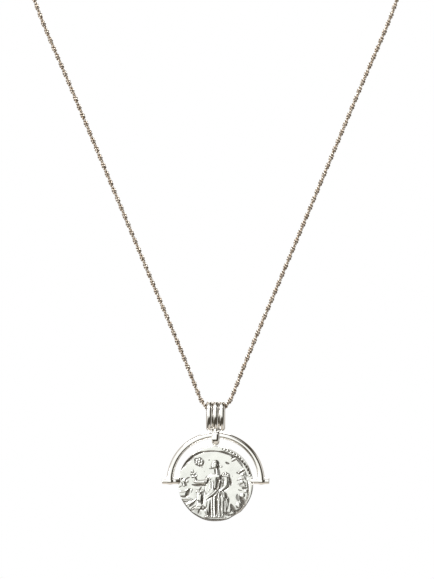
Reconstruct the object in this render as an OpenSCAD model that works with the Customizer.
// Coin pendant: an old silver coin that turns on two pins in a wire arch,
// hung by a triple ribbed bail from a fine rope chain.
// Millimetres. +Z is up, the coin's face looks along -Y, and the origin is at the nape,
// in the middle of the clasp.

/* [Chain] */
// Diameter of the rope chain
chain_d = 1.05; // [0.8:0.05:1.2]

/* [Clasp] */
// Length of the barrel clasp at the nape
clasp_length = 11; // [8:0.5:14]
// Diameter of the clasp
clasp_d = 3; // [2.4:0.1:4]
// Depth of the socket that each end of the chain enters
clasp_socket = 1.6; // [1:0.1:2.5]
// Bevel round each end of the clasp
clasp_bevel = 0.45; // [0.2:0.05:0.5]

/* [Bail] */
// Height of the bail from top to bottom
bail_h = 7.25; // [6.4:0.05:8.5]
// Outer radius of the bail's round top
bail_top_r = 2.4; // [2.2:0.05:2.8]
// Outer radius of the bail's round foot
bail_foot_r = 1.2; // [1.05:0.05:1.5]
// Thickness of the band at the crest of a rib
bail_wall = 0.9; // [0.85:0.05:1.05]
// Number of ribs side by side
rib_count = 3; // [2:1:4]
// Diameter of one rounded rib
rib_d = 1.56; // [1.52:0.02:1.7]
// Distance from one rib to the next
rib_pitch = 1.5; // [1.3:0.02:1.54]
// Bevel along the inner edges, where the chain bends over them
bail_bevel = 0.35; // [0.2:0.05:0.5]

/* [Soldered loop] */
// Width of the loop under the bail, seen from the front
loop_w = 1.85; // [1.6:0.05:2.1]
// How deep the loop is soldered into the foot of the bail
solder_depth = 0.55; // [0.4:0.05:0.7]

/* [Arch] */
// Diameter of the arch's wire
arch_wire_d = 1.6; // [1.3:0.05:1.8]
// Diameter of the rounded foot where the wire meets the pin
arch_foot_d = 1.84; // [1.82:0.02:2.2]

/* [Pins] */
// Diameter of the pin outside the coin
pin_d = 1.5; // [1.2:0.05:1.7]
// How far the pin stands out beyond the arch
pin_overhang = 1.1; // [0.6:0.1:2]
// Bevel round the pin's outer end
pin_bevel = 0.2; // [0.1:0.05:0.4]
// How far the pin's full diameter laps over the coin's edge
pin_lap = 0.53; // [0.3:0.05:0.8]
// Diameter of the thin tip inside the coin
tip_d = 0.7; // [0.5:0.05:0.8]
// Length of the thin tip
tip_length = 1.9; // [1:0.1:3]

/* [Coin] */
// Diameter of the coin
coin_d = 17.9; // [16:0.1:20]
// Thickness of the coin at its field
coin_t = 1.2; // [1.1:0.05:1.6]
// How far the coin's middle hangs below the pins
coin_drop = 0.65; // [0.4:0.05:0.9]
// Depth of the worn flat at the lower right of the edge
flat_depth = 0.2; // [0.05:0.05:0.4]
// Distance that the coin sits back, so that its face and back balance
coin_set_back = 0.035; // [0:0.005:0.1]

/* [Relief] */
// Height of the raised rim
rim_h = 0.16; // [0.1:0.02:0.3]
// Height of the standing figure
figure_h = 0.32; // [0.2:0.02:0.4]
// Height of the small marks round the figure
mark_h = 0.2; // [0.1:0.02:0.3]
// Diameter of a bead of the border
bead_d = 0.62; // [0.4:0.02:0.8]
// Distance from bead to bead
bead_pitch = 0.88; // [0.85:0.01:1.2]

/* [Clearances] */
// Gap between the coin's edge and the arch
coin_side_gap = 1.1; // [0.8:0.05:2]
// Gap between the coin's top and the loop above it
coin_loop_gap = 0.13; // [0.1:0.01:0.3]
// Gap between the arch's wire and the bail above it
arch_bail_gap = 0.2; // [0.15:0.01:0.4]
// Gap under the arch's wire in the loop
loop_rest_gap = 0.1; // [0.08:0.01:0.15]
// Play of the arch's wire in the loop, on the diameter
loop_play = 0.3; // [0.2:0.02:0.4]
// Gap between the chain and the top of the bail's opening
chain_gap = 0.12; // [0.08:0.01:0.3]
// Play of the chain in its socket, on the diameter
socket_play = 0.2; // [0.1:0.05:0.4]
// Gap at the blind end of a socket or bore
end_gap = 0.12; // [0.05:0.01:0.3]
// Play of the pin's tip in the coin's bore, on the diameter
tip_play = 0.08; // [0.04:0.01:0.15]
// Gap on each side of the pin in the coin's notch
notch_gap = 0.12; // [0.08:0.01:0.2]

/* [Hidden] */
$fn = 72;
cut = 0.5;             // extra reach of cutting bodies past the surface they cut
relief_root = 0.45;    // how deep raised shapes are rooted below the coin's field
silver = "#d4d3cd";
bright_silver = "#e2e2de";
coin_silver = "#cfcfc6";

// Sides of the chain's tube, and rings in each stretch between two route points
chain_sides = 8;
rings_per_stretch = 2;
ring_guide = [0, -0.4, 0.9];

// Bend of the chain inside the bail, which the first three route points follow
chain_bend_r = 3.8;

// The right half of the chain's route, from its lowest point to the clasp.
// It rises straight as in a hanging V, then goes round the neck. The closed chain with its
// clasp is 500 mm long.
chain_low = [0, -80, -155];
chain_points = [
    [2.1, -80, -154.4],
    [3.5, -80, -152.7],
    [4.3, -80, -150.8],
    [6.6, -80, -145],
    [16.2, -80, -122],
    [25.4, -80, -100],
    [34.6, -80, -78],
    [42.2, -80, -60],
    [46.3, -78.6, -48.2],
    [49.5, -74.5, -37.3],
    [52, -68, -28.2],
    [53.6, -59.5, -21.3],
    [54.2, -50, -15.6],
    [53.6, -40, -11.2],
    [51.4, -30, -7.7],
    [47.2, -20.8, -5],
    [40.7, -13, -3],
    [32.3, -7, -1.4],
    [23, -2.8, -0.4],
    [13, -0.4, 0]
];
chain_end = [clasp_length / 2 - clasp_socket + end_gap, 0, 0];
half_route = concat([chain_low], chain_points, [chain_end]);
last = len(half_route) - 1;
chain_route = concat(
    [for (i = [last:-1:1]) [-half_route[i].x, half_route[i].y, half_route[i].z]],
    half_route
);

// Sizes of the bail and its place: its opening hangs on the chain a small gap away
bail_w = (rib_count - 1) * rib_pitch + rib_d;
bail_hole_r = bail_top_r - bail_wall;
seat_x = bail_w / 2 - bail_bevel;
seat_drop = sqrt(pow(chain_bend_r, 2) - pow(seat_x, 2));
chain_crest = chain_bend_r - seat_drop + chain_d / 2 * chain_bend_r / seat_drop;
bail_axis = chain_low.z + chain_crest + chain_gap - bail_hole_r;
bail_bottom = bail_axis + bail_top_r - bail_h;
foot_axis = bail_bottom + bail_foot_r;
foot_distance = bail_axis - foot_axis;
foot_angle = asin((bail_top_r - bail_foot_r) / foot_distance);

// Heights of the arch, the pins and the coin, one hanging from the other
coin_r = coin_d / 2;
arch_r = coin_r + coin_side_gap + arch_wire_d / 2;
arch_axis = bail_bottom - arch_bail_gap - arch_wire_d / 2;
pin_axis = arch_axis - arch_r;
coin_middle = pin_axis - coin_drop;
coin_top = coin_middle + coin_r;

// The loop reaches from just over the coin up into the bail's foot
loop_bottom = coin_top + coin_loop_gap;
loop_top = bail_bottom + solder_depth;
loop_d = loop_top - loop_bottom;
loop_hole_d = arch_wire_d + loop_play;
loop_hole_axis = arch_axis - arch_wire_d / 2 - loop_rest_gap + loop_hole_d / 2;

// Ends of the pins and of their bores, measured from the coin's middle
coin_half = sqrt(pow(coin_r, 2) - pow(coin_drop, 2));
pin_end = coin_half - pin_lap;
pin_outside = arch_r + arch_wire_d / 2 + pin_overhang;
tip_end = pin_end - tip_length;

// Marks on the coin's face, from its middle: x to the right, y up
rim_inner_r = coin_r * 0.963;
rim_lean = [-0.079 * coin_r, -0.085 * coin_r];
bead_ring_r = coin_r * 0.938;
bead_first = 14;       // angle of the first bead, from the right
bead_span = 66;        // the beads end at the top
flat_angle = -59;

// A point of the face, as shares of the coin's radius
function on_face(p) = [p.x * coin_r, p.y * coin_r];

// Outline of the robe, its hem slanting down to the left
robe_outline = [
    [-0.21, 0.17], [-0.1, 0.25], [0.07, 0.26], [0.16, 0.2], [0.19, 0.02], [0.21, -0.16],
    [0.24, -0.32], [0.23, -0.6], [0.2, -0.88], [-0.12, -0.88], [-0.24, -0.78], [-0.33, -0.62],
    [-0.31, -0.38], [-0.27, -0.22], [-0.24, -0.02]
];

// Rounded folds and limbs: start, end, half width, all as shares of the coin's radius
fold_start = 0;
fold_end = 1;
fold_half = 2;
folds = [
    [[-0.04, 0.13], [-0.13, -0.2], 0.14],
    [[-0.15, 0.14], [0.1, 0.18], 0.07],
    [[-0.02, 0.4], [-0.01, 0.26], 0.055],
    [[0.05, -0.17], [-0.26, -0.43], 0.04],
    [[0.09, 0.17], [0.06, -0.12], 0.05],
    [[-0.19, 0.09], [-0.55, 0.04], 0.055],
    [[-0.06, -0.36], [-0.04, -0.84], 0.04],
    [[0.05, -0.3], [0.07, -0.82], 0.038],
    [[0.16, -0.24], [0.16, -0.8], 0.045],
    [[-0.22, -0.46], [-0.18, -0.76], 0.045],
    [[0.33, -0.32], [0.3, -0.56], 0.045],
    [[-0.62, 0.3], [-0.5, 0.08], 0.028]
];

// Head: place and half width
head_place = [-0.02, 0.5];
head_half = 0.115;

// Horn: a curved round-backed body of wide flat section
horn_place = [0.02, 0.04];
horn_bend_r = 0.31;
horn_start = -50;      // angle of its lower end, from the right
horn_sweep = 92;
horn_depth = 0.1;      // how deep the middle of its round section lies
horn_share = 0.9;      // its height, as a share of the figure's
robe_share = 0.4;      // height of the robe below its folds, likewise

// Round marks that stand in for worn lettering: place and half width
pellet_place = 0;
pellet_half = 1;
pellets = [
    [[-0.52, 0.64], 0.035], [[-0.44, 0.68], 0.035], [[-0.38, 0.6], 0.035], [[-0.46, 0.56], 0.04],
    [[0.33, 0.53], 0.04], [[0.66, 0.36], 0.045], [[0.72, 0.26], 0.035], [[0.7, 0.04], 0.055],
    [[0.72, -0.12], 0.035], [[0.71, -0.3], 0.06], [[0.58, -0.58], 0.06], [[0.36, -0.76], 0.045],
    [[-0.64, 0.22], 0.035], [[-0.55, 0.25], 0.03], [[-0.59, 0.14], 0.03], [[-0.8, 0.08], 0.035]
];

// Short bars at the lower left: start, end, half width
bars = [
    [[-0.92, -0.2], [-0.72, -0.28], 0.04],
    [[-0.86, -0.4], [-0.66, -0.46], 0.04],
    [[-0.7, -0.62], [-0.58, -0.52], 0.035]
];

// Altar below the hand and the line that the figure stands on: lower left corner and size
block_corner = 0;
block_size = 1;
blocks = [
    [[-0.5, -0.6], [0.17, 0.46]],
    [[-0.53, -0.17], [0.23, 0.06]],
    [[-0.54, -0.68], [0.25, 0.09]],
    [[-0.3, -0.92], [0.6, 0.045]]
];

// Smooth curve through the route's points

// Tangent at a route point, weighted by the lengths of the stretches beside it
function route_tangent(p, i) =
    i == 0 ? unit(p[1] - p[0])
    : i == len(p) - 1 ? unit(p[i] - p[i - 1])
    : let (
        before = norm(p[i] - p[i - 1]),
        after = norm(p[i + 1] - p[i])
    ) unit((p[i] - p[i - 1]) * after / before + (p[i + 1] - p[i]) * before / after);
function unit(v) = v / norm(v);

// Cubic between two points that leaves and arrives along the tangents
function curve_point(a, b, u, v, t) =
    let (reach = norm(b - a))
    a * (2 * pow(t, 3) - 3 * pow(t, 2) + 1) + u * reach * (pow(t, 3) - 2 * pow(t, 2) + t)
    + b * (3 * pow(t, 2) - 2 * pow(t, 3)) + v * reach * (pow(t, 3) - pow(t, 2));

function smooth_route(p, steps) = concat(
    [for (i = [0:len(p) - 2], k = [0:steps - 1])
        curve_point(p[i], p[i + 1], route_tangent(p, i), route_tangent(p, i + 1), k / steps)],
    [p[len(p) - 1]]
);

// Ring of points round the curve. No stretch of the route runs along ring_guide, so the
// rings keep the same start from one to the next and never turn over.
function ring(c, along, r, sides) =
    let (
        side = unit(cross(along, ring_guide)),
        up = cross(side, along)
    )
    [for (k = [0:sides - 1]) c + r * (side * cos(k * 360 / sides) + up * sin(k * 360 / sides))];

module swept_tube(p, d, sides) {
    count = len(p);
    points = [for (i = [0:count - 1]) each ring(p[i], route_tangent(p, i), d / 2, sides)];
    walls = [for (i = [0:count - 2], k = [0:sides - 1])
        let (a = i * sides + k, b = i * sides + (k + 1) % sides)
        [a, b, b + sides, a + sides]];
    first_cap = [[for (k = [sides - 1:-1:0]) k]];
    last_cap = [[for (k = [0:sides - 1]) (count - 1) * sides + k]];
    polyhedron(points, concat(walls, first_cap, last_cap), convexity = 10);
}

// Rope chain, as a tube along the chain's whole length
module rope_chain() {
    color(silver) swept_tube(smooth_route(chain_route, rings_per_stretch), chain_d, chain_sides);
}

// Plain barrel that joins the ends of the chain behind the neck
module clasp() {
    color(silver) rotate([0, 90, 0]) difference() {
        rotate_extrude() polygon([
            [0, -clasp_length / 2], [clasp_d / 2 - clasp_bevel, -clasp_length / 2],
            [clasp_d / 2, -clasp_length / 2 + clasp_bevel],
            [clasp_d / 2, clasp_length / 2 - clasp_bevel],
            [clasp_d / 2 - clasp_bevel, clasp_length / 2], [0, clasp_length / 2]
        ]);
        for (end = [-1, 1]) translate([0, 0, end * (clasp_length / 2 - clasp_socket / 2 + cut / 2)])
            cylinder(d = chain_d + socket_play, h = clasp_socket + cut, center = true);
    }
}

// Cross-section of the bail's band, x outwards from the inner face: round ribs on a bevelled back
module bail_section(inner_r) {
    outer = inner_r + bail_wall;
    intersection() {
        union() {
            for (i = [0:rib_count - 1])
                translate([outer - rib_d / 2, (i - (rib_count - 1) / 2) * rib_pitch]) circle(d = rib_d);
        }
        polygon([
            [inner_r, -seat_x], [inner_r + bail_bevel + cut, -bail_w / 2 - cut],
            [outer + cut, -bail_w / 2 - cut], [outer + cut, bail_w / 2 + cut],
            [inner_r + bail_bevel + cut, bail_w / 2 + cut], [inner_r, seat_x]
        ]);
    }
}

// Drop-shaped band: a round top, a smaller round foot and two straight flanks
module bail_band() {
    translate([0, chain_low.y, bail_axis]) rotate([90, 0, 90]) {
        rotate([0, 0, -foot_angle]) rotate_extrude(angle = 180 + 2 * foot_angle)
            bail_section(bail_hole_r);
        translate([0, -foot_distance, 0]) rotate([0, 0, 180 + foot_angle])
            rotate_extrude(angle = 180 - 2 * foot_angle) bail_section(bail_foot_r - bail_wall);
        for (side = [0, 1]) mirror([side, 0, 0]) rotate([0, 0, -foot_angle]) rotate([90, 0, 0])
            linear_extrude(height = foot_distance * cos(foot_angle)) bail_section(bail_hole_r);
    }
}

// Thick round loop, soldered under the bail, that the arch hangs in
module bail_loop() {
    translate([0, chain_low.y, (loop_top + loop_bottom) / 2]) rotate([0, 90, 0]) {
        rotate_extrude() intersection() {
            translate([(loop_d - loop_w) / 2, 0]) circle(d = loop_w);
            translate([0, -loop_w]) square([loop_d, 2 * loop_w]);
        }
        cylinder(d = loop_d - loop_w, h = loop_w, center = true);
    }
}

module bail() {
    color(bright_silver) difference() {
        union() {
            bail_band();
            bail_loop();
        }
        translate([0, chain_low.y, loop_hole_axis]) rotate([0, 90, 0])
            cylinder(d = loop_hole_d, h = loop_w + 2 * cut, center = true);
    }
}

// Pin of one side: a bevelled outer end, the full diameter and the thin tip
module pin() {
    rotate([0, 90, 0]) {
        translate([0, 0, tip_end]) cylinder(d = tip_d, h = tip_length + cut);
        translate([0, 0, pin_end]) cylinder(d = pin_d, h = pin_outside - pin_bevel - pin_end);
        translate([0, 0, pin_outside - pin_bevel])
            cylinder(d1 = pin_d, d2 = pin_d - 2 * pin_bevel, h = pin_bevel);
    }
}

// Half round of wire whose feet are soldered to the pins that carry the coin
module arch() {
    color(bright_silver) translate([0, chain_low.y, pin_axis]) {
        rotate([90, 0, 0]) rotate_extrude(angle = 180) translate([arch_r, 0]) circle(d = arch_wire_d);
        for (side = [0, 1]) mirror([side, 0, 0]) {
            translate([arch_r, 0, 0]) rotate([0, 90, 0]) sphere(d = arch_foot_d);
            pin();
        }
    }
}

// Radius of a ball or rod that shows the given half width and height above the field
function sunk_r(half, height) = (pow(half, 2) + pow(height, 2)) / (2 * height);

// The part of a sunk shape that reaches from inside the metal to above the field
module above_field(reach, height) {
    intersection() {
        children();
        translate([0, 0, -relief_root]) cylinder(r = reach, h = relief_root + height + cut);
    }
}

// Height of a raised shape, which is never quite as tall as half its width
function rise(half, height) = min(height, half * 0.95);

// Low dome on the face: the cap of a ball, whose poles lie sideways inside the metal
module dome(half, height) {
    h = rise(half, height);
    ball_r = sunk_r(half, h);
    above_field(ball_r + cut, h) translate([0, 0, h - ball_r])
        rotate([0, 90, 30]) sphere(r = ball_r);
}

// Low round-backed ridge with round ends on the face, from a to b
module ridge(a, b, half, height) {
    h = rise(half, height);
    rod_r = sunk_r(half, h);
    length = norm(b - a);
    translate([a.x, a.y, 0]) rotate([0, 0, atan2(b.y - a.y, b.x - a.x)])
        above_field(length + rod_r + cut, h) translate([0, 0, h - rod_r])
            rotate([0, 90, 0]) rotate_extrude() union() {
                square([rod_r, length]);
                for (end = [0, length]) intersection() {
                    translate([0, end]) circle(r = rod_r);
                    translate([0, end - rod_r]) square([rod_r, 2 * rod_r]);
                }
            }
}

// Raised rim: wide at the upper right, and worn away at the lower left
module rim() {
    difference() {
        cylinder(d = coin_d, h = coin_t / 2 + rim_h);
        translate([rim_lean.x, rim_lean.y, -cut])
            cylinder(r = rim_inner_r, h = coin_t / 2 + rim_h + 2 * cut);
    }
}

// Beads of the border, half sunk in the rim, along the upper right
module bead_border() {
    step = bead_pitch / bead_ring_r * 180 / PI;
    for (angle = [bead_first:step:bead_first + bead_span])
        translate([bead_ring_r * cos(angle), bead_ring_r * sin(angle), coin_t / 2 + rim_h / 2])
            rotate([0, 90, angle]) sphere(d = bead_d, $fn = 24);
}

// Standing robed figure with one arm held out, a curved horn on the other arm
module figure() {
    translate([0, 0, coin_t / 2]) {
        translate([0, 0, -relief_root])
            linear_extrude(height = relief_root + figure_h * robe_share)
                polygon([for (p = robe_outline) on_face(p)]);
        for (fold = folds)
            ridge(on_face(fold[fold_start]), on_face(fold[fold_end]),
                fold[fold_half] * coin_r, figure_h);
        translate([head_place.x * coin_r, head_place.y * coin_r, 0])
            dome(head_half * coin_r, figure_h);
        translate([horn_place.x * coin_r, horn_place.y * coin_r, 0]) rotate([0, 0, horn_start])
            rotate_extrude(angle = horn_sweep) translate([horn_bend_r * coin_r, 0])
                intersection() {
                    translate([0, -horn_depth * coin_r])
                        circle(r = figure_h * horn_share + horn_depth * coin_r);
                    translate([-coin_t, -relief_root]) square([2 * coin_t, coin_t]);
                }
    }
}

// Small altar below the hand, and the line that the figure stands on
module ground() {
    for (block = blocks) {
        corner = on_face(block[block_corner]);
        size = on_face(block[block_size]);
        translate([corner.x, corner.y, coin_t / 2 - relief_root])
            cube([size.x, size.y, relief_root + mark_h]);
    }
}

// Plain worn marks where a coin has its lettering
module marks() {
    translate([0, 0, coin_t / 2]) {
        for (pellet = pellets) {
            place = on_face(pellet[pellet_place]);
            translate([place.x, place.y, 0]) dome(pellet[pellet_half] * coin_r, mark_h);
        }
        for (bar = bars)
            ridge(on_face(bar[fold_start]), on_face(bar[fold_end]), bar[fold_half] * coin_r, mark_h);
    }
}

// Space that the pins take out of the coin: a notch in the edge and a blind bore
module pin_space() {
    notch_w = pin_d + 2 * notch_gap;
    for (side = [0, 1]) mirror([side, 0, 0]) {
        translate([pin_end - end_gap, coin_drop - notch_w / 2, -coin_t])
            cube([coin_r, notch_w, 2 * coin_t]);
        translate([tip_end - end_gap, coin_drop, 0]) rotate([0, 90, 0])
            cylinder(d = tip_d + tip_play, h = coin_r);
    }
}

// Coin with its relief, lying flat with the face up
module coin_flat() {
    difference() {
        translate([0, 0, -coin_set_back]) union() {
            translate([0, 0, -coin_t / 2]) cylinder(d = coin_d, h = coin_t);
            rim();
            mirror([0, 0, 1]) rim();
            intersection() {
                union() {
                    bead_border();
                    figure();
                    ground();
                    marks();
                }
                translate([0, 0, -coin_t]) cylinder(d = coin_d, h = 3 * coin_t);
            }
        }
        rotate([0, 0, flat_angle]) translate([coin_r - flat_depth, -coin_r, -2 * coin_t])
            cube([coin_r, coin_d, 4 * coin_t]);
        pin_space();
    }
}

module coin() {
    color(coin_silver) translate([0, chain_low.y, coin_middle]) rotate([90, 0, 0]) coin_flat();
}

rope_chain();
clasp();
bail();
arch();
coin();
